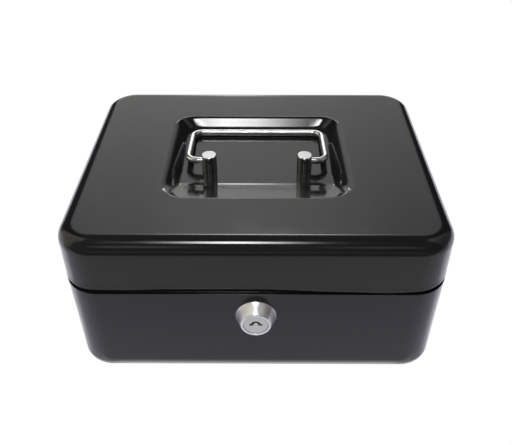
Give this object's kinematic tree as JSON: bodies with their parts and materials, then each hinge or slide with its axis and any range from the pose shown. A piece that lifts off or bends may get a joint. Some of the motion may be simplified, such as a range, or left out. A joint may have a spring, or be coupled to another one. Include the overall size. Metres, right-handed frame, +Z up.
{
  "type": "cash box",
  "caption": "Small lockable steel cash box with hinged lid, recessed folding bail handle, front cam lock and lift-out coin tray.",
  "frame": {"origin": "centre of the underside of the closed box, on the face that it stands on", "axes": "+X to the right across the front, +Y to the rear (the lock faces -Y), +Z up"},
  "size_m": [0.2, 0.1712, 0.0939],
  "materials": {
    "black_enamel": "gloss black stove enamel on sheet steel",
    "bright_chrome": "bright chrome plate",
    "satin_nickel": "satin nickel plate",
    "zinc_plate": "bright zinc plate",
    "brass": "stamped brass",
    "black_plastic": "matt moulded black plastic"
  },
  "bodies": {
    "base": {"base_shell": "black_enamel", "hinge_base_leaf_left": "black_enamel", "hinge_base_leaf_right": "black_enamel", "hinge_base_rivets": "black_enamel", "hinge_pin_left": "zinc_plate", "hinge_pin_right": "zinc_plate", "lock_housing": "bright_chrome", "lock_washer": "zinc_plate", "lock_nut": "zinc_plate"},
    "lock_core": {"lock_plug": "satin_nickel", "lock_wafers": "brass", "wafer_springs": "brass", "lock_cam": "zinc_plate", "cam_washer": "zinc_plate", "cam_screw": "zinc_plate"},
    "lid": {"lid_shell": "black_enamel", "handle_recess": "black_enamel", "handle_post_left": "bright_chrome", "handle_post_right": "bright_chrome", "post_washer_left": "zinc_plate", "post_washer_right": "zinc_plate", "lock_keeper": "zinc_plate", "hinge_lid_leaf_left": "black_enamel", "hinge_lid_leaf_right": "black_enamel", "hinge_lid_rivets": "black_enamel"},
    "bail": {"bail_handle": "bright_chrome"},
    "tray": {"coin_tray": "black_plastic"}
  },
  "joints": [
    {"name": "lid_hinge", "type": "hinge", "parent": "base", "child": "lid", "pos_m": [0, 0.0823, 0.05895], "axis": [-1, 0, 0], "range_deg": [0, 100]},
    {"name": "bail_swing", "type": "hinge", "parent": "lid", "child": "bail", "pos_m": [0, -0.0069, 0.09], "axis": [1, 0, 0], "range_deg": [0, 180]},
    {"name": "lock_turn", "type": "hinge", "parent": "base", "child": "lock_core", "pos_m": [0, -0.0799, 0.0412], "axis": [0, 1, 0], "range_deg": [0, 90]},
    {"name": "tray_lift", "type": "slide", "parent": "base", "child": "tray", "axis": [0, 0, 1], "range_m": [0, 0.012]}
  ]
}
